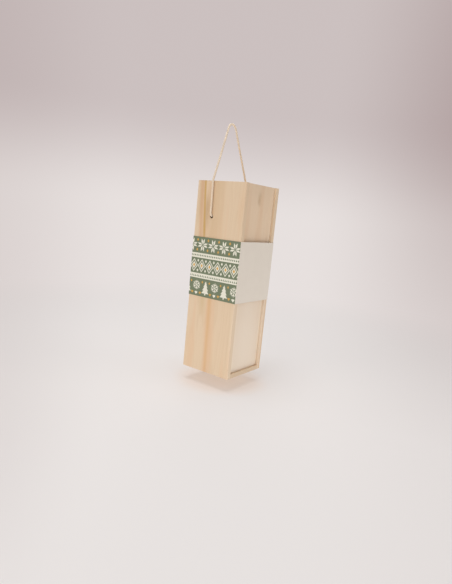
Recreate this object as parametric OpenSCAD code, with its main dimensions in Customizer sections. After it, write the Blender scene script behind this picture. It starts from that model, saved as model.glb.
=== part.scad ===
// Single-bottle wine box of pale softwood: a grooved carcass, a lid that slides
// up and out, a printed card sleeve round the middle and a knotted rope handle.
// The origin is the middle of the base; the lid faces -Y and +Z is up.

/* [Box] */
// Outer width, across the two side boards
box_w = 110; // [96:1:140]
// Outer depth, from the sides' front edges to the back
box_d = 110; // [96:1:140]
// Outer height
box_h = 360; // [320:1:420]
// Thickness of each side board
side_t = 9; // [8:0.5:12]
// Thickness of the back board
back_t = 8; // [6:0.5:12]
// Thickness of the top and bottom boards
end_t = 8; // [6:0.5:12]
// Bevel along the boards' long outer edges
edge_bevel = 0.6; // [0.3:0.1:1.2]

/* [Sliding lid] */
// Thickness of the lid
lid_t = 4; // [3:0.25:5.5]
// How far the lid's face lies behind the sides' front edges
lid_setback = 4.5; // [3:0.5:8]
// Depth of the groove in each side
groove_depth = 4; // [2.5:0.5:5]
// Running gap on each side of the lid's edges
lid_play = 0.25; // [0.15:0.05:0.4]
// Diameter of the thumb scoop
scoop_d = 16; // [12:1:22]
// Depth of the thumb scoop
scoop_depth = 1.2; // [0.8:0.1:1.8]
// Distance from the lid's top edge down to the scoop's centre
scoop_drop = 29; // [16:1:60]

/* [Card sleeve] */
// Height of the sleeve
sleeve_h = 112.5; // [60:0.5:140]
// Height of the sleeve's lower edge over the base
sleeve_base = 143.5; // [20:0.5:150]
// Thickness of the card
card_t = 0.6; // [0.3:0.1:1]
// Gap between the card and the box
sleeve_play = 0.3; // [0.2:0.1:0.8]
// Width of the glued lap at the back
lap_w = 15; // [10:1:25]
// Outer radius of the sleeve's four folds
fold_r = 1.2; // [1.1:0.1:2.5]

/* [Rope handle] */
// Diameter of the rope
rope_d = 4; // [3:0.25:4.5]
// How much wider the holes are than the rope
hole_play = 2.4; // [1.6:0.2:4]
// Distance of the holes behind the box's middle
hole_back = 17; // [0:1:30]
// Distance from the box's top down to the holes' centres
hole_drop = 64.5; // [40:0.5:100]
// Bevel round each hole's outer rim
hole_bevel = 1; // [0.5:0.1:1.5]
// Diameter of each stopper knot
knot_d = 13; // [11:0.5:16]
// Length of each stopper knot along the rope
knot_len = 11; // [9:0.5:14]

/* [Hidden] */

// Colours as the photograph shows them
pine = [0.85, 0.76, 0.63];
pine_end = [0.80, 0.71, 0.57];
pine_lid = [0.82, 0.73, 0.61];
card_green = [0.44, 0.49, 0.40];
cotton = [0.90, 0.83, 0.74];

// Gap at which a piece rests on another without touching it
seat = 0.3;
// How far a cutter runs past the face that it cuts
over = 1;

half_w = box_w / 2;
half_d = box_d / 2;
inner_w = box_w - 2 * side_t;
back_face = half_d - back_t;
lid_front = -half_d + lid_setback;
lid_back = lid_front + lid_t;
lid_low = end_t + seat;
top_front = lid_back + lid_play;
hole_r = (rope_d + hole_play) / 2;
hole_z = box_h - hole_drop;
hole_seat_x = half_w - side_t - seat;

// The rope's route, from the left knot over the grip to the right knot. Each
// leg lies close up its side, bends in over the top edge and runs straight to
// the grip, which is a half turn as round a finger.
rope_route = [
    [-45.7, 17, 295.8], [-49, 17, 296], [-52.5, 17, 296.2], [-55, 17, 296.9],
    [-56.8, 17.1, 298.7], [-57.5, 17.1, 301.2], [-57.4, 17.3, 309], [-57.3, 17.6, 321],
    [-57.3, 18, 335], [-57.3, 18.3, 348], [-57.4, 18.5, 356], [-57, 18.7, 361],
    [-54.5, 19.3, 366.7], [-47, 20.9, 383.7], [-37, 23.1, 406.3], [-27, 25.3, 429],
    [-17, 27.6, 451.7], [-12, 28.6, 463], [-9.3, 29, 466.8], [-5.5, 29.2, 469.3],
    [-1, 29.3, 470.2], [3.5, 29.2, 469.3], [7.3, 29, 466.8], [10, 28.6, 463],
    [15.2, 28, 451.7], [25.7, 27, 429], [36.1, 25.8, 406.3], [46.6, 24.6, 383.7],
    [54.4, 23.8, 366.7], [57, 23.5, 361], [57.4, 23, 356], [57.3, 22, 348],
    [57.3, 20.5, 335], [57.3, 18.9, 321], [57.4, 17.6, 309], [57.5, 17.1, 301.2],
    [56.8, 17.1, 298.7], [55, 17, 296.9], [52.5, 17, 296.2], [49, 17, 296],
    [45.7, 17, 295.8]
];
rope_sides = 10;
rope_steps = 2;

// Vector functions for the rope's sweep
function unit(v) = v / norm(v);
function last(list) = len(list) - 1;
function heading(p, i) =
    i == 0 ? unit(p[1] - p[0])
    : i == last(p) ? unit(p[i] - p[i - 1])
    : unit(unit(p[i + 1] - p[i]) * norm(p[i] - p[i - 1])
           + unit(p[i] - p[i - 1]) * norm(p[i + 1] - p[i]));

// A point a share s along the smooth span from point i to the next one
function span_point(p, i, s) =
    let (d = norm(p[i + 1] - p[i]), a = heading(p, i) * d, b = heading(p, i + 1) * d)
    p[i] * (2 * s * s * s - 3 * s * s + 1)
    + a * (s * s * s - 2 * s * s + s)
    + p[i + 1] * (3 * s * s - 2 * s * s * s)
    + b * (s * s * s - s * s);

function smooth(p, steps) = [
    for (i = [0 : last(p) - 1])
        for (k = [0 : steps - 1])
            span_point(p, i, k / steps),
    p[last(p)]
];

// Normals carried along the line without twist
function carried(t, first) = [
    for (i = 0, n = unit(first - (first * t[0]) * t[0]);
         i < len(t);
         i = i + 1, n = i < len(t) ? unit(n - (n * t[i]) * t[i]) : n)
        n
];

// A closed tube with one ring at each point of the line
module tube(line, d, sides, first_normal) {
    t = [for (i = [0 : last(line)]) heading(line, i)];
    n = carried(t, first_normal);
    rings = [
        for (i = [0 : last(line)])
            for (k = [0 : sides - 1])
                line[i] + d / 2 * (cos(360 * k / sides) * n[i] + sin(360 * k / sides) * cross(t[i], n[i]))
    ];
    walls = [
        for (i = [0 : last(line) - 1])
            for (k = [0 : sides - 1])
                let (a = i * sides + k, b = i * sides + (k + 1) % sides)
                    each [[a, b + sides, b], [a, a + sides, b + sides]]
    ];
    start = [for (k = [1 : sides - 2]) [0, k, k + 1]];
    base = last(line) * sides;
    finish = [for (k = [1 : sides - 2]) [base, base + k + 1, base + k]];
    polyhedron(points = rings, faces = concat(walls, start, finish));
}

// A square outline with round corners, centred on the origin
module rounded_outline(w, d, r) {
    square([w - 2 * r, d], center = true);
    square([w, d - 2 * r], center = true);
    for (x = [-1, 1])
        for (y = [-1, 1])
            translate([x * (w / 2 - r), y * (d / 2 - r)])
                circle(r = r, $fn = 32);
}

// The left board seen from above: outer edges bevelled, grooved for the lid
module side_outline() {
    difference() {
        polygon([
            [-half_w, -half_d + edge_bevel], [-half_w + edge_bevel, -half_d],
            [-half_w + side_t, -half_d], [-half_w + side_t, half_d],
            [-half_w + edge_bevel, half_d], [-half_w, half_d - edge_bevel]
        ]);
        translate([-half_w + side_t - groove_depth, lid_front - lid_play])
            square([groove_depth + over, lid_t + 2 * lid_play]);
    }
}

module rope_hole() {
    translate([-half_w, hole_back, hole_z])
        rotate([0, 90, 0]) {
            translate([0, 0, -over])
                cylinder(h = side_t + 2 * over, r = hole_r, $fn = 48);
            translate([0, 0, -over])
                cylinder(h = hole_bevel + over, r1 = hole_r + hole_bevel + over, r2 = hole_r, $fn = 48);
        }
}

// A side board, which stands to the left; the groove ends on the bottom board
module side_board() {
    difference() {
        linear_extrude(box_h) side_outline();
        rope_hole();
    }
}

module left_side() {
    color(pine) side_board();
}

module right_side() {
    color(pine) mirror([1, 0, 0]) side_board();
}

module back_panel() {
    color(pine)
        translate([-inner_w / 2, back_face, 0])
            cube([inner_w, back_t, box_h]);
}

// The top board stops behind the lid, so that the lid can slide out past it
module top_panel() {
    color(pine_end)
        translate([-inner_w / 2, top_front, box_h - end_t])
            cube([inner_w, back_face - top_front, end_t]);
}

// The bottom board runs out to the front edges, and the lid stands on it
module bottom_panel() {
    color(pine_end)
        translate([-inner_w / 2, -half_d, 0])
            cube([inner_w, half_d + back_face, end_t]);
}

// The lid runs in the side grooves. The scoop is a shallow cap of a ball.
module sliding_lid() {
    width = inner_w + 2 * (groove_depth - lid_play);
    ball_r = (pow(scoop_d / 2, 2) + pow(scoop_depth, 2)) / (2 * scoop_depth);
    color(pine_lid)
        difference() {
            translate([-width / 2, lid_front, lid_low])
                cube([width, lid_t, box_h - lid_low]);
            translate([0, lid_front + scoop_depth - ball_r, box_h - scoop_drop])
                sphere(r = ball_r, $fn = 96);
        }
}

// The card is folded round the box, and its end is lapped over at the back
module card_sleeve() {
    inside_w = box_w + 2 * sleeve_play;
    inside_d = box_d + 2 * sleeve_play;
    color(card_green)
        translate([0, 0, sleeve_base])
            linear_extrude(sleeve_h) {
                difference() {
                    rounded_outline(inside_w + 2 * card_t, inside_d + 2 * card_t, fold_r);
                    rounded_outline(inside_w, inside_d, fold_r - card_t);
                }
                translate([inside_w / 2 + card_t - fold_r - lap_w, inside_d / 2 + card_t])
                    square([lap_w, card_t]);
            }
}

module rope_handle() {
    color(cotton) tube(smooth(rope_route, rope_steps), rope_d, rope_sides, [0, 1, 0]);
}

// A stopper knot bears on the wall's inner face, where the rope comes through
module stopper_knot() {
    color(cotton)
        translate([-hole_seat_x, hole_back, rope_route[0][2]])
            rotate([0, 90, 0])
                rotate_extrude($fn = 48)
                    polygon([
                        [0, 0], [knot_d * 0.36, 0], [knot_d * 0.47, knot_len * 0.12],
                        [knot_d / 2, knot_len * 0.32], [knot_d * 0.46, knot_len * 0.58],
                        [knot_d * 0.3, knot_len * 0.8], [rope_d / 2, knot_len * 0.86],
                        [rope_d / 2, knot_len * 1.5], [0, knot_len * 1.5]
                    ]);
}

module rope_knot_left() {
    stopper_knot();
}

module rope_knot_right() {
    mirror([1, 0, 0]) stopper_knot();
}

left_side();
right_side();
back_panel();
top_panel();
bottom_panel();
sliding_lid();
card_sleeve();
rope_handle();
rope_knot_left();
rope_knot_right();
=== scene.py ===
"""Looks of the wooden wine box: boards, sliding lid, printed card sleeve and rope handle."""
import math

import bpy
from mathutils import Matrix, Vector
from mathutils.geometry import delaunay_2d_cdt


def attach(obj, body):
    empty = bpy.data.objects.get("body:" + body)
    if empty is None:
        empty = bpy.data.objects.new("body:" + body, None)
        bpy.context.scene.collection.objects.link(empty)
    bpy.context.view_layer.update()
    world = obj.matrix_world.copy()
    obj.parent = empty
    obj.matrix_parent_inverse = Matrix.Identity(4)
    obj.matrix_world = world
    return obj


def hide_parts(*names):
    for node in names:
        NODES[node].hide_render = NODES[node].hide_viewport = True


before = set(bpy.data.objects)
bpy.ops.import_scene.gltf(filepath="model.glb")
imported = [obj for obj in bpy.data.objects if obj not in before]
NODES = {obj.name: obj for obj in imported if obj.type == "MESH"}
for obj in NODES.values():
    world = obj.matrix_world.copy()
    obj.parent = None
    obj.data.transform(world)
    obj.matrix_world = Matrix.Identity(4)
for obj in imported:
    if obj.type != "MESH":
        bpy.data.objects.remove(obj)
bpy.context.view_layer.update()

bpy.context.scene.view_settings.view_transform = "Standard"
MM = 0.001


# Camera

# The photograph's view, solved from six corners of the box: the direction that
# it looks from, its roll, and where the box's middle lies from the camera
VIEW_AZIMUTH = -53.94
VIEW_ELEVATION = 9.14
VIEW_ROLL = -5.61
BOX_MIDDLE = Vector((0, 0, 0.18))
MIDDLE_FROM_CAMERA = Vector((0.00837, -0.0271, 0.9084))
FOCAL_PX = 464.0
LONG_SIDE_PX = 584
SENSOR_MM = 36.0
NEAR_CLIP, FAR_CLIP = 0.01, 50


def make_camera():
    a, e, roll = (math.radians(x) for x in (VIEW_AZIMUTH, VIEW_ELEVATION, VIEW_ROLL))
    back = Vector((math.sin(a) * math.cos(e), -math.cos(a) * math.cos(e), math.sin(e)))
    level_right = (-back).cross(Vector((0, 0, 1))).normalized()
    level_down = (-back).cross(level_right)
    right = math.cos(roll) * level_right + math.sin(roll) * level_down
    down = math.cos(roll) * level_down - math.sin(roll) * level_right
    axes = Matrix((right, down, -back))
    place = Matrix((right, -down, back)).transposed().to_4x4()
    place.translation = BOX_MIDDLE - axes.transposed() @ MIDDLE_FROM_CAMERA
    data = bpy.data.cameras.new("camera")
    data.sensor_width = SENSOR_MM
    data.lens = FOCAL_PX / LONG_SIDE_PX * SENSOR_MM
    data.clip_start, data.clip_end = NEAR_CLIP, FAR_CLIP
    camera = bpy.data.objects.new("camera", data)
    camera.matrix_world = place
    bpy.context.scene.collection.objects.link(camera)
    bpy.context.scene.camera = camera


make_camera()


# Node helpers


class Nodes:
    """A small writer for one material's or world's nodes."""

    def __init__(self, tree):
        self.tree = tree
        tree.nodes.clear()

    def add(self, kind, inputs=None, **settings):
        node = self.tree.nodes.new(kind)
        for name, value in settings.items():
            setattr(node, name, value)
        for key, value in (inputs or {}).items():
            self.put(node.inputs[key], value)
        return node

    def put(self, socket, value):
        if isinstance(value, bpy.types.NodeSocket):
            self.tree.links.new(value, socket)
        elif isinstance(value, bpy.types.Node):
            self.tree.links.new(value.outputs[0], socket)
        else:
            socket.default_value = value

    def math(self, operation, a, b=0.0, c=0.0, clamp=False):
        return self.add("ShaderNodeMath", {0: a, 1: b, 2: c}, operation=operation, use_clamp=clamp)

    def vector(self, operation, a, b=None):
        node = self.add("ShaderNodeVectorMath", {0: a}, operation=operation)
        if b is not None:
            self.put(node.inputs["Scale" if operation == "SCALE" else 1], b)
        return node

    def length(self, vector):
        return self.vector("LENGTH", vector).outputs["Value"]

    def along(self, vector, axis):
        return self.vector("DOT_PRODUCT", vector, axis).outputs["Value"]

    def split(self, vector):
        """The vector's X, Y and Z."""
        return self.add("ShaderNodeSeparateXYZ", {0: vector}).outputs

    def millimetres(self):
        """The place on the piece, in millimetres."""
        place = self.add("ShaderNodeTexCoord").outputs["Object"]
        return self.vector("SCALE", place, 1 / MM).outputs[0]

    def noise(self, vector, scale, detail=2.0, roughness=0.5):
        inputs = {"Vector": vector, "Scale": scale, "Detail": detail, "Roughness": roughness}
        return self.add("ShaderNodeTexNoise", inputs)

    def ramp(self, value, stops):
        node = self.add("ShaderNodeValToRGB", {0: value})
        elements = node.color_ramp.elements
        while len(elements) < len(stops):
            elements.new(0.5)
        for element, (position, colour) in zip(elements, stops):
            element.position = position
            element.color = (*colour, 1)
        return node

    def mix(self, factor, a, b):
        node = self.add("ShaderNodeMix", data_type="RGBA")
        self.put(node.inputs[0], factor)
        self.put(node.inputs[6], a)
        self.put(node.inputs[7], b)
        return node.outputs[2]

    def remap(self, value, from_min, from_max, to_min=0.0, to_max=1.0, kind="SMOOTHSTEP"):
        inputs = {0: value, 1: from_min, 2: from_max, 3: to_min, 4: to_max}
        return self.add("ShaderNodeMapRange", inputs, interpolation_type=kind)

    def bump(self, shader, height, strength, distance):
        bump = self.add("ShaderNodeBump",
                        {"Height": height, "Strength": strength, "Distance": distance})
        self.put(shader.inputs["Normal"], bump)


def linear(red, green, blue):
    """A linear colour from the 0 to 255 values that a picture shows."""
    return tuple(
        c / 12.92 if c <= 0.04045 else ((c + 0.055) / 1.055) ** 2.4
        for c in (red / 255, green / 255, blue / 255)
    )


def rgba(red, green, blue):
    return (*linear(red, green, blue), 1)


def new_material(name):
    material = bpy.data.materials.new(name)
    material.use_nodes = True
    nodes = Nodes(material.node_tree)
    shader = nodes.add("ShaderNodeBsdfPrincipled")
    nodes.add("ShaderNodeOutputMaterial", {"Surface": shader})
    return material, nodes, shader


# Stage: a pale floor that fades into a soft backdrop, so that no edge shows

FLOOR_DROP = 0.026
FLOOR_HALF = 12.0

# Linear colours of the floor near the box and right under it, where a warm tint is
# painted for the light that the wood throws on it, of the backdrop at eye level and
# above it, and of what its dim sides tend to
FLOOR_COLOUR = (0.89, 0.852, 0.84)
PAINTED_BOUNCE_FLOOR = (0.90, 0.812, 0.762)
STAGE_COLOUR = (0.80, 0.748, 0.733)
UPPER_COLOUR = (0.60, 0.53, 0.525)
DIM_COLOUR = (0.12, 0.0, 0.0)

# Distances from the box's middle over which the floor's painted warm bounce ends, its
# light rises to full strength and its shading fades into the backdrop
PAINTED_BOUNCE_REACH = (0.06, 0.105)
UNDER_REACH = (0.045, 0.12)
LIT_REACH = (0.45, 1.3)
GLOW_SHARE = 0.35
GLOW_STRENGTH = 0.86

# Light that the floor throws on the box: from near it, the share of that which
# comes from right under it, and from far away; then the light from all round
NEAR_BOUNCE = 1.25
UNDER_BOUNCE = 0.7
FAR_BOUNCE = 0.7
BOUNCE_COLOUR = (1.0, 0.99, 0.98)
WORLD_LIGHT = 0.38
WORLD_COLOUR = (1.0, 0.992, 0.985)
UPPER_RISE = (0.0, 0.22)

# Level directions across the photograph's view, to its right, and along it, and
# the point above the floor from which the backdrop's dim sides spread
ACROSS = (0.589, -0.808, 0.0)
ALONG = (0.808, 0.589, 0.0)
FAN_POINT = (-0.72, -0.53, 0.35)

# Dimness: where it sets in and is full to the right, to the left and ahead, and how
# strong it is from one rise of the view to another
RIGHT_FADE = (0.15, 0.5)
RIGHT_RISE = (-0.42, 0.1, 0.05, 0.36)
LEFT_FADE = (-0.22, -0.5)
LEFT_RISE = (-0.9, -0.5, 0.0, 0.14)
AHEAD_FADE = (0.25, 0.85)

# Name, place, size in metres, power in watts and colour
LAMPS = (
    ("window", (-2.2, 0.1, 1.5), 2.3, 15, (1.0, 0.985, 0.97)),
    ("ceiling", (-0.2, 0.1, 2.3), 1.4, 22, (1.0, 0.99, 0.98)),
    ("back_fill", (2.0, 1.5, 1.1), 1.8, 9, (1.0, 0.99, 0.98)),
    ("fill", (0.9, -2.0, 1.6), 1.6, 5, (1.0, 0.98, 0.96)),
)


def seen_directly(nodes):
    """1 where the backdrop is looked at or mirrored, and 0 where it only gives light."""
    rays = nodes.add("ShaderNodeLightPath").outputs
    seen = nodes.math("MAXIMUM", rays["Is Camera Ray"], rays["Is Glossy Ray"])
    return nodes.math("MAXIMUM", seen, rays["Is Transmission Ray"])


def dimmed(nodes, direction, colour):
    """The colour, darker towards both sides of the photograph's view and the more
    so on the right and higher up."""
    side = nodes.along(direction, ACROSS)
    rise = nodes.split(direction)[2]
    right = nodes.math("MULTIPLY", nodes.remap(side, *RIGHT_FADE),
                       nodes.remap(rise, *RIGHT_RISE, "LINEAR"))
    left = nodes.math("MULTIPLY", nodes.remap(side, *LEFT_FADE), nodes.remap(rise, *LEFT_RISE))
    ahead = nodes.remap(nodes.along(direction, ALONG), *AHEAD_FADE)
    dimness = nodes.math("MULTIPLY", nodes.math("ADD", right, left), ahead)
    return nodes.mix(dimness, colour, (*DIM_COLOUR, 1))


def floor_material():
    material = bpy.data.materials.new("stage_floor")
    material.use_nodes = True
    nodes = Nodes(material.node_tree)
    place = nodes.add("ShaderNodeTexCoord").outputs["Object"]
    distance = nodes.length(place)
    away = nodes.remap(distance, *LIT_REACH)
    direction = nodes.vector("NORMALIZE", nodes.vector("SUBTRACT", place, FAN_POINT))

    # What is seen: a floor that takes shadows, and far away an even colour
    # Painted light: a warm tint on the floor round the box for the light that the wood throws on
    # it
    painted_bounce = nodes.remap(distance, *PAINTED_BOUNCE_REACH)
    near_colour = nodes.mix(painted_bounce, (*PAINTED_BOUNCE_FLOOR, 1), (*FLOOR_COLOUR, 1))
    near_colour = dimmed(nodes, direction, near_colour)
    matt = nodes.add("ShaderNodeBsdfDiffuse", {"Color": near_colour})
    glow = nodes.add("ShaderNodeEmission", {"Color": near_colour, "Strength": GLOW_STRENGTH})
    lit = nodes.add("ShaderNodeMixShader", {0: GLOW_SHARE, 1: matt, 2: glow})
    far_colour = dimmed(nodes, direction, (*STAGE_COLOUR, 1))
    even = nodes.add("ShaderNodeEmission", {"Color": far_colour, "Strength": 1.0})
    looks = nodes.add("ShaderNodeMixShader", {0: away, 1: lit, 2: even})

    # What lights the box
    strength = nodes.remap(away, 0.0, 1.0, NEAR_BOUNCE, FAR_BOUNCE, "LINEAR")
    under = nodes.remap(distance, *UNDER_REACH, UNDER_BOUNCE, 1.0)
    strength = nodes.math("MULTIPLY", strength, under)
    bounce = nodes.add("ShaderNodeEmission", {"Color": (*BOUNCE_COLOUR, 1), "Strength": strength})
    both = nodes.add("ShaderNodeMixShader", {0: seen_directly(nodes), 1: bounce, 2: looks})
    nodes.add("ShaderNodeOutputMaterial", {"Surface": both})
    return material


def make_floor():
    half = FLOOR_HALF
    mesh = bpy.data.meshes.new("floor")
    corners = [(-half, -half, 0), (half, -half, 0), (half, half, 0), (-half, half, 0)]
    mesh.from_pydata(corners, [], [(0, 1, 2, 3)])
    mesh.materials.append(floor_material())
    floor = bpy.data.objects.new("floor", mesh)
    floor.location = (0, 0, -FLOOR_DROP)
    bpy.context.scene.collection.objects.link(floor)


def make_world():
    world = bpy.data.worlds.new("world")
    world.use_nodes = True
    bpy.context.scene.world = world
    nodes = Nodes(world.node_tree)
    light = nodes.add("ShaderNodeBackground",
                      {"Color": (*WORLD_COLOUR, 1), "Strength": WORLD_LIGHT})
    direction = nodes.add("ShaderNodeTexCoord").outputs["Generated"]
    height = nodes.remap(nodes.split(direction)[2], *UPPER_RISE)
    colour = nodes.mix(height, (*STAGE_COLOUR, 1), (*UPPER_COLOUR, 1))
    colour = dimmed(nodes, direction, colour)
    backdrop = nodes.add("ShaderNodeBackground", {"Color": colour, "Strength": 1.0})
    both = nodes.add("ShaderNodeMixShader", {0: seen_directly(nodes), 1: light, 2: backdrop})
    nodes.add("ShaderNodeOutputWorld", {"Surface": both})


def add_lamp(name, place, size, power, colour):
    data = bpy.data.lights.new(name, "AREA")
    data.shape = "DISK"
    data.size = size
    data.energy = power
    data.color = colour
    lamp = bpy.data.objects.new(name, data)
    lamp.location = place
    lamp.rotation_euler = (BOX_MIDDLE - Vector(place)).to_track_quat("-Z", "Y").to_euler()
    bpy.context.scene.collection.objects.link(lamp)


make_floor()
make_world()
for lamp_values in LAMPS:
    add_lamp(*lamp_values)


# Wood: one solid texture of growth rings, seen where each board cuts it

PALE = (228, 202, 172)
DARK = (214, 182, 145)
WARM = (227, 191, 156)
PORE = (168, 128, 88)
END_GRAIN = (200, 165, 124)
PAINTED_HOLE_SHADE = (48, 32, 20)

# Noise scales per millimetre, across the grain twice and along it
WANDER_GRAIN = (0.022, 0.022, 0.0032)
TINT_GRAIN = (0.045, 0.045, 0.0045)
FIBRE_GRAIN = (1.7, 1.7, 0.035)
PORE_GRAIN = (4.2, 4.2, 0.14)

# How far the grain, the rings and the streaks wander, in millimetres
WANDER = 34
RING_WANDER = 7.0
STREAK_WANDER = 20

# Darkness through one year's ring, from its early wood to the next year's
RING_DARKNESS = ((0.0, 0.18), (0.10, 0.0), (0.55, 0.16), (0.88, 0.85), (0.97, 1.0), (1.0, 0.18))

HALF_HEIGHT = 180
STREAK_END = 45
HOLE_EDGE = 0.3

# Streaks of colour up a board, some of them painted light or shade: (axis, place at half
# height, lean, width, bottom, top, colour, strength). Knots and soft patches, some of them painted
# light: (place, radii, colour, strength).
# Bored holes through the sides, whose walls get painted shade: (depth, height, radius). All are in
# millimetres.
LEFT_STREAKS_AND_PAINTED_LIGHT = (
    (1, 8, 0, 26, 215, 460, (214, 181, 141), 0.55),
    (1, 45, 0, 11, 270, 460, (206, 176, 138), 0.6),
    (1, 27, 0, 11, 258, 352, (190, 157, 118), 0.6),
    # Painted shade: darker on the side just below the sleeve's lower edge, where the sleeve shades
    # it
    (1, 20, 0, 13, 92, 200, (210, 182, 138), 0.5),
    (1, 32, 0.07, 10, 190, 420, (216, 172, 134), 0.7),
    (1, 24, 0.07, 4.5, 225, 440, (204, 163, 100), 1.0),
    (1, 2, 0, 9, -60, 190, (222, 178, 132), 0.75),
    (1, -6, 0, 8, -60, 120, (226, 186, 148), 0.4),
    # Painted light: paler low down along the board's front edge, for light thrown up from the
    # floor
    (1, -57, 0, 7, -90, 230, (240, 219, 194), 0.4),
)
LID_TONE_AND_PAINTED_LIGHT = (
    # Partly painted light from the floor below and partly the lid's own tone: the lid paler below
    # the sleeve, and more so near its foot
    (0, 0, 0, 120, -90, 210, (242, 225, 206), 0.85),
    (0, 0, 0, 120, -60, 120, (242, 225, 206), 0.4),
    # Painted light: paler strips along the lid beside the lips of the side boards, against their
    # shade, the left one low down only
    (0, 49, 0, 10, -90, 460, (255, 240, 218), 0.75),
    (0, -46, 0, 12, -90, 215, (255, 240, 218), 0.35),
    # A darker patch along the top of the lid
    (0, -5, 0, 62, 310, 470, (212, 186, 158), 0.3),
)
LID_KNOT = (((-2, -50, 335), (10, 14, 19), (188, 158, 122), 0.5),)
# Painted light: pale patches on the right board by its front edge, lifting the shade on the inner
# face of its lip
RIGHT_LIP_PAINTED_LIGHT = (
    ((42, -53, 330), (12, 14, 200), (242, 220, 190), 0.4),
    ((42, -53, 90), (12, 14, 220), (252, 238, 220), 0.8),
)
ROPE_HOLE = ((17, 295.5, 4.6),)


def with_tone_and_light_streaks(n, colour, apart, slow, tone_and_light_streaks):
    """The colour with bands up the board, some of the wood's own tone and some painted light or
    shade, which wander with the slow noise.
    """
    for axis, centre, lean_by, width, bottom, top, shade, amount in tone_and_light_streaks:
        sway = n.math("SUBTRACT", slow.outputs["Fac"], 0.5)
        across = n.math("MULTIPLY_ADD", sway, STREAK_WANDER, apart[axis])
        rise = n.math("SUBTRACT", apart[2], HALF_HEIGHT)
        across = n.math("MULTIPLY_ADD", rise, -lean_by, across)
        near = n.math("ABSOLUTE", n.math("SUBTRACT", across, centre))
        near = n.remap(near, 0.0, width, 1.0, 0.0)
        starts = n.remap(apart[2], bottom, bottom + STREAK_END)
        ends = n.remap(apart[2], top - STREAK_END, top, 1.0, 0.0)
        amount = n.math("MULTIPLY", n.math("MULTIPLY", near, amount),
                        n.math("MULTIPLY", starts, ends))
        colour = n.mix(amount, colour, rgba(*shade))
    return colour


def with_knots_and_light_patches(n, colour, place, knots_and_light_patches):
    """The colour with a knot or a soft patch of painted light within each ellipsoid."""
    for centre, radii, shade, amount in knots_and_light_patches:
        off = n.vector("DIVIDE", n.vector("SUBTRACT", place, centre), radii)
        near = n.remap(n.length(off), 0.0, 1.0, 1.0, 0.0)
        colour = n.mix(n.math("MULTIPLY", near, amount), colour, rgba(*shade))
    return colour


def shade_painted_in_holes(n, colour, place, facing, holes):
    """The colour with painted shade inside the holes, dark on walls that don't face along X."""
    for y, z, radius in holes:
        off = n.vector("SUBTRACT", n.vector("MULTIPLY", place, (0, 1, 1)), (0, y, z))
        inside = n.remap(n.length(off), radius - HOLE_EDGE, radius, 1.0, 0.0)
        turned_in = n.remap(n.math("ABSOLUTE", facing[0]), 0.2, 0.9, 1.0, 0.0)
        dark = n.math("MULTIPLY", n.math("MULTIPLY", inside, turned_in), 0.9)
        colour = n.mix(dark, colour, rgba(*PAINTED_HOLE_SHADE))
    return colour


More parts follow.
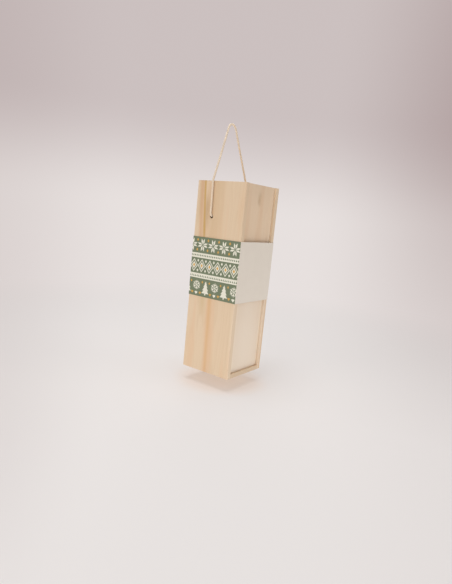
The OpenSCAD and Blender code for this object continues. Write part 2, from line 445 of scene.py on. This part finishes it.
def wood(name, pale, dark, pith, lean, ring, tone_and_light_streaks=(), knots_and_light_patches=(), holes=(), level=False):
    """Softwood sawn from a log whose pith runs up through pith, in millimetres,
    and leans by lean degrees about X and Y, with a growth ring every ring
    millimetres. In a level board the grain runs along X instead, and pith is a
    height and a depth."""
    material, n, shader = new_material(name)
    coord = n.add("ShaderNodeTexCoord")
    place = n.vector("SCALE", coord.outputs["Object"], 1 / MM).outputs[0]
    apart = n.split(place)
    facing = n.split(coord.outputs["Normal"])
    end = n.remap(n.math("ABSOLUTE", facing[0 if level else 2]), 0.6, 0.9)
    grain = place
    if level:
        grain = n.add("ShaderNodeCombineXYZ", {0: apart[2], 1: apart[1], 2: apart[0]})

    # Slow wander of the grain, long along the board
    slow = n.noise(n.vector("MULTIPLY", grain, WANDER_GRAIN), 1.0, 2.5, 0.55)
    wander = n.vector("SUBTRACT", slow.outputs["Color"], (0.5, 0.5, 0.5))
    wander = n.vector("MULTIPLY", wander, (WANDER, WANDER, 0))
    moved = n.vector("ADD", grain, wander)
    turn = n.add("ShaderNodeMapping", {"Vector": moved}, vector_type="TEXTURE")
    turn.inputs["Location"].default_value = (*pith, 0)
    turn.inputs["Rotation"].default_value = (*(math.radians(x) for x in lean), 0)
    radius = n.length(n.vector("MULTIPLY", turn, (1, 1, 0)))

    # Rings of uneven width
    uneven = n.noise(n.add("ShaderNodeCombineXYZ", {0: radius}), 0.11, 1.0)
    radius = n.math("MULTIPLY_ADD", uneven, RING_WANDER, radius)
    year = n.math("FRACT", n.math("DIVIDE", radius, ring))
    late = n.ramp(year, [(age, (value,) * 3) for age, value in RING_DARKNESS])

    # Fibres and pores
    fibre = n.noise(n.vector("MULTIPLY", grain, FIBRE_GRAIN), 1.0, 3.0, 0.6)
    pores = n.noise(n.vector("MULTIPLY", grain, PORE_GRAIN), 1.0, 2.0, 0.5)
    pore = n.remap(pores, 0.64, 0.74)
    tint = n.noise(n.vector("MULTIPLY", grain, TINT_GRAIN), 1.0, 2.0, 0.5)

    strength = n.math("MULTIPLY", late, n.math("MULTIPLY_ADD", end, 0.5, 0.22))
    fibre_share = n.remap(fibre, 0.3, 0.7, -0.12, 0.2, "LINEAR")
    strength = n.math("ADD", strength, fibre_share, clamp=True)
    colour = n.mix(strength, rgba(*pale), rgba(*dark))
    colour = n.mix(n.remap(tint, 0.46, 0.68, 0.0, 0.55), colour, rgba(*WARM))
    colour = n.mix(n.math("MULTIPLY", pore, 0.22), colour, rgba(*PORE))

    # Streaks and knots, some of them painted light or shade, then painted shade inside the holes,
    # and sawn ends, which take in light and look darker
    colour = with_tone_and_light_streaks(n, colour, apart, slow, tone_and_light_streaks)
    colour = with_knots_and_light_patches(n, colour, place, knots_and_light_patches)
    colour = shade_painted_in_holes(n, colour, place, facing, holes)
    colour = n.mix(n.math("MULTIPLY", end, 0.5), colour, rgba(*END_GRAIN))

    n.put(shader.inputs["Base Color"], colour)
    shader.inputs["Specular IOR Level"].default_value = 0.28
    n.put(shader.inputs["Roughness"], n.remap(fibre, 0.3, 0.7, 0.56, 0.70, "LINEAR"))
    height = n.math("MULTIPLY_ADD", late, 0.25, n.math("MULTIPLY_ADD", pore, -0.5, fibre))
    n.bump(shader, height, 0.16, 0.0004)
    return material


EASED_EDGE = 0.4
SHARP_ANGLE = 35


def dress_boards():
    looks = {
        "left_side": wood("pine_left", PALE, DARK, (-150, 18), (0.5, 0.8), 4.4,
                          LEFT_STREAKS_AND_PAINTED_LIGHT, holes=ROPE_HOLE),
        "right_side": wood("pine_right", PALE, DARK, (120, -30), (-0.6, -0.5), 4.0,
                           knots_and_light_patches=RIGHT_LIP_PAINTED_LIGHT, holes=ROPE_HOLE),
        "back_panel": wood("pine_back", PALE, DARK, (10, 118), (0.7, 0.4), 4.2),
        "top_panel": wood("pine_top", PALE, DARK, (290, 12), (0.6, -0.7), 5.0, level=True),
        "bottom_panel": wood("pine_bottom", (222, 196, 166), (206, 176, 142), (64, -22),
                             (0.8, 0.5), 4.6, level=True),
        "sliding_lid": wood("pine_lid", (235, 208, 179), (222, 193, 162), (14, -140),
                            (0.8, -0.5), 5.0, LID_TONE_AND_PAINTED_LIGHT, LID_KNOT),
    }
    for name, material in looks.items():
        board = NODES[name]
        board.data.materials.clear()
        board.data.materials.append(material)
        bevel = board.modifiers.new("eased_edges", "BEVEL")
        bevel.width = EASED_EDGE * MM
        bevel.segments = 2
        bevel.limit_method = "ANGLE"
        bevel.angle_limit = math.radians(SHARP_ANGLE)
        bevel.harden_normals = True


dress_boards()


# Meshes


def add_mesh(name, points, faces, materials, body, slots=None, normals=None):
    """A smooth mesh given in millimetres, riding on a body."""
    mesh = bpy.data.meshes.new(name)
    mesh.from_pydata([tuple(x * MM for x in p) for p in points], [], faces)
    for material in materials:
        mesh.materials.append(material)
    if slots:
        mesh.polygons.foreach_set("material_index", slots)
    mesh.polygons.foreach_set("use_smooth", [True] * len(mesh.polygons))
    mesh.validate()
    mesh.update()
    if normals:
        mesh.normals_split_custom_set_from_vertices(normals)
    piece = bpy.data.objects.new(name, mesh)
    bpy.context.scene.collection.objects.link(piece)
    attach(piece, body)
    return piece


# Rope: three twisted strands along the same smoothed line as the CAD rope

ROPE_ROUTE = (
    (-45.7, 17, 295.8), (-49, 17, 296), (-52.5, 17, 296.2), (-55, 17, 296.9),
    (-56.8, 17.1, 298.7), (-57.5, 17.1, 301.2), (-57.4, 17.3, 309), (-57.3, 17.6, 321),
    (-57.3, 18, 335), (-57.3, 18.3, 348), (-57.4, 18.5, 356), (-57, 18.7, 361),
    (-54.5, 19.3, 366.7), (-47, 20.9, 383.7), (-37, 23.1, 406.3), (-27, 25.3, 429),
    (-17, 27.6, 451.7), (-12, 28.6, 463), (-9.3, 29, 466.8), (-5.5, 29.2, 469.3),
    (-1, 29.3, 470.2), (3.5, 29.2, 469.3), (7.3, 29, 466.8), (10, 28.6, 463),
    (15.2, 28, 451.7), (25.7, 27, 429), (36.1, 25.8, 406.3), (46.6, 24.6, 383.7),
    (54.4, 23.8, 366.7), (57, 23.5, 361), (57.4, 23, 356), (57.3, 22, 348),
    (57.3, 20.5, 335), (57.3, 18.9, 321), (57.4, 17.6, 309), (57.5, 17.1, 301.2),
    (56.8, 17.1, 298.7), (55, 17, 296.9), (52.5, 17, 296.2), (49, 17, 296),
    (45.7, 17, 295.8),
)
STRANDS = 3
STRAND_R = 1.1
STRAND_SIDES = 8
STRAND_OFFSET = 0.93
TWIST_PITCH = 15.0
RING_STEP = 0.9
FINE_STEP = 0.25
FRAYED_RINGS = 4
FRAY_SPREAD = 0.55


def smooth_line(points, step):
    """Points at even steps along a smooth curve through the given ones."""
    p = [Vector(q) for q in points]
    last = len(p) - 1

    def heading(i):
        if i in (0, last):
            return (p[1] - p[0] if i == 0 else p[last] - p[last - 1]).normalized()
        before, after = p[i] - p[i - 1], p[i + 1] - p[i]
        both = after.normalized() * before.length + before.normalized() * after.length
        return both.normalized()

    fine = []
    for i in range(last):
        reach = (p[i + 1] - p[i]).length
        a, b = heading(i) * reach, heading(i + 1) * reach
        count = max(4, int(reach / FINE_STEP))
        for k in range(count):
            s = k / count
            fine.append(
                p[i] * (2 * s**3 - 3 * s**2 + 1) + a * (s**3 - 2 * s**2 + s)
                + p[i + 1] * (3 * s**2 - 2 * s**3) + b * (s**3 - s**2)
            )
    fine.append(p[last])
    along = [0.0]
    for q, r in zip(fine, fine[1:]):
        along.append(along[-1] + (r - q).length)
    count = max(2, round(along[-1] / step))
    even, k = [], 0
    for i in range(count + 1):
        want = along[-1] * i / count
        while k < len(fine) - 2 and along[k + 1] < want:
            k += 1
        share = (want - along[k]) / (along[k + 1] - along[k])
        even.append(fine[k].lerp(fine[k + 1], min(1, max(0, share))))
    return even


def carried_sides(line):
    """Two directions square to the line at each point, turning no more than it does."""
    last = len(line) - 1
    heads = [(line[min(i + 1, last)] - line[max(i - 1, 0)]).normalized()
             for i in range(len(line))]
    side = heads[0].orthogonal().normalized()
    frames = []
    for head in heads:
        side = (side - head * side.dot(head)).normalized()
        frames.append((side, head.cross(side)))
    return frames


def add_tube(line, radius, sides, points, faces):
    """Adds a closed tube along a line."""
    first = len(points)
    for q, (side, up) in zip(line, carried_sides(line)):
        for k in range(sides):
            turn = 2 * math.pi * k / sides
            points.append(q + radius * (math.cos(turn) * side + math.sin(turn) * up))
    for i in range(len(line) - 1):
        for k in range(sides):
            a, b = first + i * sides + k, first + i * sides + (k + 1) % sides
            faces.append((a, b, b + sides, a + sides))
    faces.append(tuple(reversed(range(first, first + sides))))
    end = first + (len(line) - 1) * sides
    faces.append(tuple(range(end, end + sides)))


def twisted(line, fray=0):
    """Three strands laid round a line; the last fray points spread apart."""
    points, faces = [], []
    frames = carried_sides(line)
    step = (line[1] - line[0]).length
    for strand in range(STRANDS):
        path = []
        for i, (q, (side, up)) in enumerate(zip(line, frames)):
            turn = 2 * math.pi * (strand / STRANDS + i * step / TWIST_PITCH)
            loose = max(0, i - (len(line) - 1 - fray)) / fray if fray else 0
            reach = STRAND_OFFSET * (1 + FRAY_SPREAD * loose**2)
            path.append(q + reach * (math.cos(turn) * side + math.sin(turn) * up))
        add_tube(path, STRAND_R, STRAND_SIDES, points, faces)
    return points, faces


def cotton():
    """Natural cotton yarn: warm white, matt, with fine fibres."""
    material, n, shader = new_material("cotton_rope")
    place = n.millimetres()
    patches = n.noise(place, 0.35, 3.0, 0.6)
    fluff = n.noise(place, 3.2, 3.0, 0.65)
    shade = n.ramp(patches, [(0.3, linear(234, 212, 188)), (0.7, linear(245, 229, 208))])
    shade = n.mix(n.remap(fluff, 0.35, 0.7, 0.0, 0.25), shade, rgba(216, 193, 167))
    n.put(shader.inputs["Base Color"], shade)
    shader.inputs["Roughness"].default_value = 0.92
    shader.inputs["Specular IOR Level"].default_value = 0.2
    shader.inputs["Sheen Weight"].default_value = 0.12
    n.bump(shader, fluff, 0.5, 0.0003)
    return material


def knot_route(side):
    """The rope's end inside the box, from the wall inward: it runs in, turns
    back, winds over itself two and a half times and hangs down."""
    length, bend, pitch, wrap, turns, dip, tail = 9.6, 2.5, 3.8, 3.95, 2.375, 1.8, 11
    out = [(x, 0.0, 0.0) for x in (0, length / 3, 2 * length / 3, length - 1)]
    for degrees in (0, 30, 60, 90):
        a = math.radians(degrees)
        out.append((length + bend * math.sin(a), bend * (1 - math.cos(a)), 0))
    for degrees in (27, 54, 81, 108, 135):
        a = math.radians(degrees)
        x = length + bend - dip * (degrees / 135) ** 2
        out.append((x, bend + bend * math.sin(a), bend * (1 - math.cos(a))))

    # The bend ends this far out, and the coils close in from there
    first_reach = 2.414 * bend
    count = round(turns * 12)
    for k in range(1, count + 1):
        turn = 45 + turns * 360 * k / count
        share = (turn - 45) / 360
        reach = wrap + (first_reach - wrap) * max(0, 1 - share / 0.7) ** 2
        a = math.radians(turn)
        x = length + bend - dip - pitch * share
        out.append((x, reach * math.cos(a), reach * math.sin(a)))
    x, y, z = out[-1]
    for share in (0.33, 0.66, 1.0):
        out.append((x + 1.2 * share**2, y - share, z - tail * share))
    x, y, z = ROPE_ROUTE[-1]
    start = Vector((side * x, y, z))
    return [start + Vector((-side * p[0], p[1], p[2])) for p in out]


def make_rope():
    material = cotton()
    line = smooth_line(ROPE_ROUTE, RING_STEP)
    points, faces = twisted(line)
    rope = add_mesh("rope", points, faces, [material], "box")
    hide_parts("rope_handle")
    for side, node in ((-1, "rope_knot_left"), (1, "rope_knot_right")):
        points, faces = twisted(smooth_line(knot_route(side), RING_STEP), FRAYED_RINGS)
        knot = add_mesh("stopper_" + node[5:], points, faces, [material], "box")
        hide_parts(node)


make_rope()


# Card sleeve: one strip, printed and creased flat, then folded round the box

SLEEVE_BASE = 143.5
SLEEVE_H = 112.5
CARD_T = 0.6
FOLD_R = 1.2
HALF = 55.9
LAP_W = 15.0
STRIP_START = 54.0
FLAT = 2 * (HALF - FOLD_R)
FOLD = FOLD_R * math.pi / 2
FOLD_STEPS = 6

# Strip lengths at which each stretch begins or ends, from the end under the lap
BACK_END = STRIP_START + HALF - FOLD_R
LEFT_START = BACK_END + FOLD
LEFT_END = LEFT_START + FLAT
FRONT_START = LEFT_END + FOLD
FRONT_END = FRONT_START + FLAT
RIGHT_START = FRONT_END + FOLD
RIGHT_END = RIGHT_START + FLAT + CARD_T
LAP_START = RIGHT_END + FOLD
STRIP_END = LAP_START + LAP_W
FOLDS = (BACK_END, LEFT_END, FRONT_END, RIGHT_END)


def folded(u):
    """Place of the strip's outer face at length u, seen from above, and its normal."""
    reach = HALF - FOLD_R
    corners = ((-reach, reach), (-reach, -reach), (reach, -reach), (reach, reach + CARD_T))
    angles = (90, 180, 270, 360)
    if u <= BACK_END:
        return Vector((STRIP_START - u, HALF)), Vector((0, 1))
    for fold, corner, angle in zip(FOLDS, corners, angles):
        if fold <= u <= fold + FOLD:
            a = math.radians(angle + 90 * (u - fold) / FOLD)
            normal = Vector((math.cos(a), math.sin(a)))
            return Vector(corner) + FOLD_R * normal, normal
    if u < LEFT_END:
        return Vector((-HALF, reach - (u - LEFT_START))), Vector((-1, 0))
    if u < FRONT_END:
        return Vector((-reach + (u - FRONT_START), -HALF)), Vector((0, -1))
    if u < RIGHT_END:
        return Vector((HALF, -reach + (u - RIGHT_START))), Vector((1, 0))
    return Vector((reach - (u - LAP_START), HALF + CARD_T)), Vector((0, 1))


# Motifs, as outlines in millimetres round their own middle


def mirrored(outline):
    return outline + [(-x, y) for x, y in reversed(outline) if abs(x) > 1e-6]


def shifted(outline, x, y, scale=1.0):
    return [(x + scale * a, y + scale * b) for a, b in outline]


def turned(outline, degrees):
    c, s = math.cos(math.radians(degrees)), math.sin(math.radians(degrees))
    return [(c * x - s * y, s * x + c * y) for x, y in outline]


def lozenge(w, h):
    return [(0, -h / 2), (w / 2, 0), (0, h / 2), (-w / 2, 0)]


def pine():
    right = [(0, 11), (2.6, 6.2), (1.5, 6.2), (4.3, 1.4), (2.7, 1.4), (6.0, -4.2), (3.9, -4.2),
             (7.4, -9.2), (1.1, -9.2), (1.1, -12), (0, -12)]
    return mirrored(right)


def star_petals():
    """The old eight-petalled star of knitted borders."""
    petal = [(0.5, 1.0), (3.8, 5.3), (3.8, 11.9), (0.5, 8.2)]
    both = [petal, [(-x, y) for x, y in reversed(petal)]]
    return [turned(p, 90 * k) for k in range(4) for p in both]


def crystal(size):
    """Six bars of a snow crystal, each with two small branches, and its heart."""
    bar = [(-0.55, 1.4), (0.55, 1.4), (0.55, 6.6), (0, 7.5), (-0.55, 6.6)]
    parts = []
    for k in range(6):
        parts.append(turned(bar, 60 * k))
        for way in (-1, 1):
            twig = [(way * 0.5, 3.2), (way * 2.6, 4.9), (way * 2.6, 6.3), (way * 0.5, 4.6)]
            parts.append(turned(twig if way > 0 else list(reversed(twig)), 60 * k))
    angles = [math.radians(60 * k) for k in range(6)]
    parts.append([(1.1 * math.sin(a), 1.1 * math.cos(a)) for a in reversed(angles)])
    return [shifted(p, 0, 0, size) for p in parts]


def heart(size):
    right = [(0, 1.2), (0.9, 2.0), (2.0, 1.9), (2.6, 0.9), (2.3, -0.2), (0, -2.6)]
    return [(x * size, y * size) for x, y in mirrored(right)]


# Inks, and the layers of card and ground that every other layer lies on
GREEN, CREAM, OCHRE, CARD = range(4)
CARD_LAYER, GROUND_LAYER = 0, 1

# Heights on the sleeve of the two pale stripes and of the rows' middles
STRIPES = ((34.5, 43.5), (73.0, 82.0))
STAR_ROW = 97.3
TICK_ROW = 77.5
TRIANGLE_ROW = 39.0
LATTICE_ROW = 58.25
PINE_ROW = 17.5


def row(start, pitch, count):
    """Lengths along the strip of a row's motifs, from one pitch before start."""
    return [start + pitch * k for k in range(-1, count)]


def print_design():
    """Outlines on the flat strip as (layer, ink, points). Higher layers cover lower ones."""
    parts = []

    def put(layer, ink, *outlines):
        parts.extend((layer, ink, outline) for outline in outlines)

    def bar(layer, ink, u0, u1, v0, v1):
        put(layer, ink, [(u0, v0), (u1, v0), (u1, v1), (u0, v1)])

    printed = ((-1, LEFT_END + FOLD / 2), (FRONT_END + FOLD / 2, STRIP_END + 1))
    for u0, u1 in printed:
        bar(GROUND_LAYER, GREEN, u0, u1, -1, SLEEVE_H + 1)
        for v0, v1 in STRIPES:
            bar(2, CREAM, u0, u1, v0, v1)

    # Stars along the top, with a small lozenge between each two
    for u in row(8.6, 25.2, 20):
        put(3, CREAM, *(shifted(p, u, STAR_ROW) for p in star_petals()))
        for v in (106.6, 88.0):
            put(3, OCHRE, shifted(lozenge(4.6, 6.0), u + 12.6, v))

    # Ticks along the two pale stripes
    for u in row(1.3, 4.2, 115):
        put(3, GREEN, shifted(lozenge(3.0, 4.4), u, TICK_ROW))
        put(3, GREEN, shifted([(-1.6, -1.9), (1.6, -1.9), (0, 2.2)], u, TRIANGLE_ROW))

    # A lattice of lozenges round the middle
    for u in row(4.0, 18.9, 27):
        put(3, CREAM, shifted(lozenge(18.9, 25.0), u, LATTICE_ROW))
        put(4, GREEN, shifted(lozenge(15.1, 20.0), u, LATTICE_ROW))
        put(5, CREAM, shifted(lozenge(10.4, 13.8), u, LATTICE_ROW))
        put(6, OCHRE, shifted(lozenge(5.4, 7.2), u, LATTICE_ROW))
        for v in (49.0, 67.5):
            put(3, CREAM, shifted(lozenge(4.6, 6.2), u + 9.45, v))

    # Pines and snow crystals by turns along the bottom
    for u in row(18.0, 44.0, 11):
        put(3, CREAM, shifted(pine(), u, PINE_ROW, 1.16))
        put(3, CREAM, *(shifted(p, u + 22.0, 21.0) for p in crystal(1.28)))
        put(3, CREAM, shifted(heart(1.3), u + 22.0, 6.0))
        for way in (-1, 1):
            put(3, OCHRE, shifted(lozenge(4.0, 5.4), u + way * 8.6, 27.6))
            put(3, OCHRE, shifted(heart(1.1), u + way * 12.4, 6.6))
    return parts


def card_material(name, shade, speck):
    """Uncoated card in one flat colour of ink, faintly mottled as print on pulp is."""
    material, n, shader = new_material(name)
    place = n.millimetres()
    cloudy = n.noise(place, 0.06, 2.0, 0.5)
    pulp = n.noise(place, 1.6, 4.0, 0.65)
    colour = n.mix(n.remap(cloudy, 0.35, 0.65, 0.0, 0.16), rgba(*shade), rgba(*speck))
    colour = n.mix(n.remap(pulp, 0.45, 0.75, 0.0, 0.22), colour, rgba(*speck))
    n.put(shader.inputs["Base Color"], colour)
    n.put(shader.inputs["Roughness"], n.remap(pulp, 0.3, 0.7, 0.58, 0.72))
    shader.inputs["Specular IOR Level"].default_value = 0.3
    n.bump(shader, pulp, 0.12, 0.0002)
    return material


def cut_print():
    """The flat strip cut along every crease and outline: its points, its faces
    and the ink of each."""
    creases = sorted(fold + FOLD * k / FOLD_STEPS for fold in FOLDS for k in range(FOLD_STEPS + 1))
    creases = [0.0] + creases + [STRIP_END]
    shapes = [(CARD_LAYER, CARD, [(a, 0), (b, 0), (b, SLEEVE_H), (a, SLEEVE_H)])
              for a, b in zip(creases, creases[1:])]
    shapes += print_design()
    points, outlines = [], []
    for _, _, outline in shapes:
        area = sum(a[0] * b[1] - b[0] * a[1] for a, b in zip(outline, outline[1:] + outline[:1]))
        first = len(points)
        points += [Vector(p) for p in outline]
        ids = list(range(first, first + len(outline)))
        outlines.append(ids if area > 0 else ids[::-1])
    flat, _, faces, _, _, origins = delaunay_2d_cdt(points, [], outlines, 1, 1e-5)

    kept, inks = [], []
    for face, origin in zip(faces, origins):
        layers = [shapes[k][0] for k in origin]
        if CARD_LAYER not in layers:
            continue
        top = max(origin, key=lambda k: shapes[k][0])
        kept.append(list(face))
        inks.append(shapes[top][1] if GROUND_LAYER in layers else CARD)
    used = sorted({i for face in kept for i in face})
    index = {old: new for new, old in enumerate(used)}
    return [flat[i] for i in used], [[index[i] for i in face] for face in kept], inks


def rim_edges(faces):
    """The edges that only one face has."""
    edges = dict.fromkeys((a, b) for face in faces for a, b in zip(face, face[1:] + face[:1]))
    return [(a, b) for a, b in edges if (b, a) not in edges]


def make_sleeve():
    flat, outer, slots = cut_print()
    count = len(flat)

    # The outer face and the inner one behind it
    skin, normals = [], []
    for lift, way in ((0.0, 1), (CARD_T, -1)):
        for u, v in flat:
            place, normal = folded(min(max(u, 0), STRIP_END))
            place = place - lift * normal
            skin.append((place.x, place.y, SLEEVE_BASE + v))
            normals.append((way * normal.x, way * normal.y, 0))
    inner = [[i + count for i in reversed(face)] for face in outer]
    faces = outer + inner
    slots += [CARD] * len(inner)

    # The cut edges, with points of their own, so that they stay crisp
    double = {}
    for a, b in rim_edges(outer):
        edge = []
        for i in (b, a, a + count, b + count):
            if i not in double:
                double[i] = len(skin)
                skin.append(skin[i])
                normals.append((0, 0, 0))
            edge.append(double[i])
        faces.append(edge)
        slots.append(CARD)

    # In the order of the inks
    materials = [
        card_material("card_green", (117, 127, 101), (129, 131, 107)),
        card_material("card_cream", (236, 231, 214), (226, 219, 200)),
        card_material("card_ochre", (214, 165, 86), (222, 180, 112)),
        card_material("card_plain", (234, 223, 210), (226, 214, 200)),
    ]
    sleeve = add_mesh("printed_sleeve", skin, faces, materials, "sleeve", slots, normals)
    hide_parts("card_sleeve")


make_sleeve()
